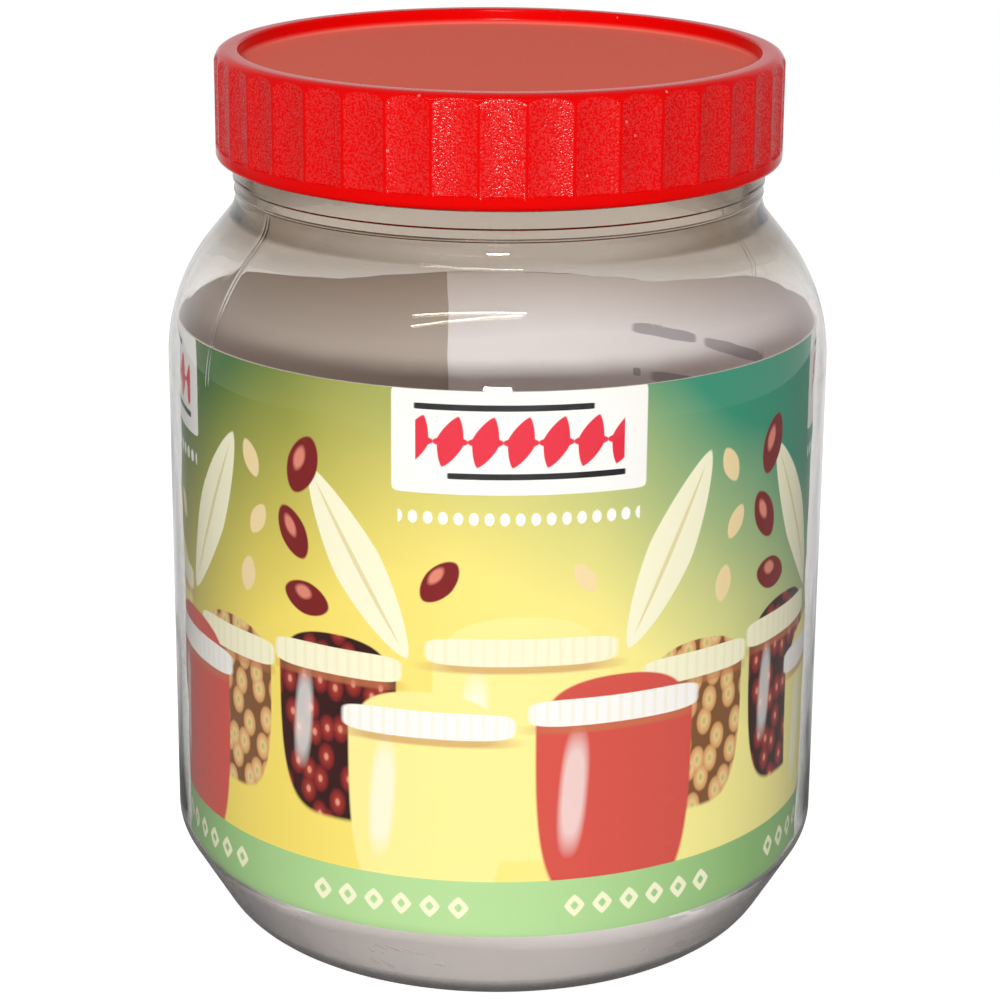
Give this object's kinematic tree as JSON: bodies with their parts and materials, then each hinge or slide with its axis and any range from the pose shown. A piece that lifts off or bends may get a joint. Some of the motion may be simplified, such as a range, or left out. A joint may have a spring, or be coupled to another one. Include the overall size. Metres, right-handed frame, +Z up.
{
  "type": "plastic storage jar",
  "caption": "Clear plastic storage jar with a ribbed screw lid, a rounded shoulder, a tapered foot and a printed card rolled up inside its wall.",
  "frame": {"origin": "middle of the flat surface the jar stands on", "axes": "+Z up along the jar's axis, -Y towards the middle of the front"},
  "size_m": [0.102, 0.102, 0.1388],
  "materials": {
    "clear_plastic": "clear, glossy",
    "red_plastic": "glossy, fine grain in the flutes and on the top panel",
    "printed_card": "printed card, satin outside and matt inside"
  },
  "bodies": {
    "root": {"jar": "clear_plastic", "lid": "red_plastic", "card": "printed_card"}
  },
  "joints": []
}
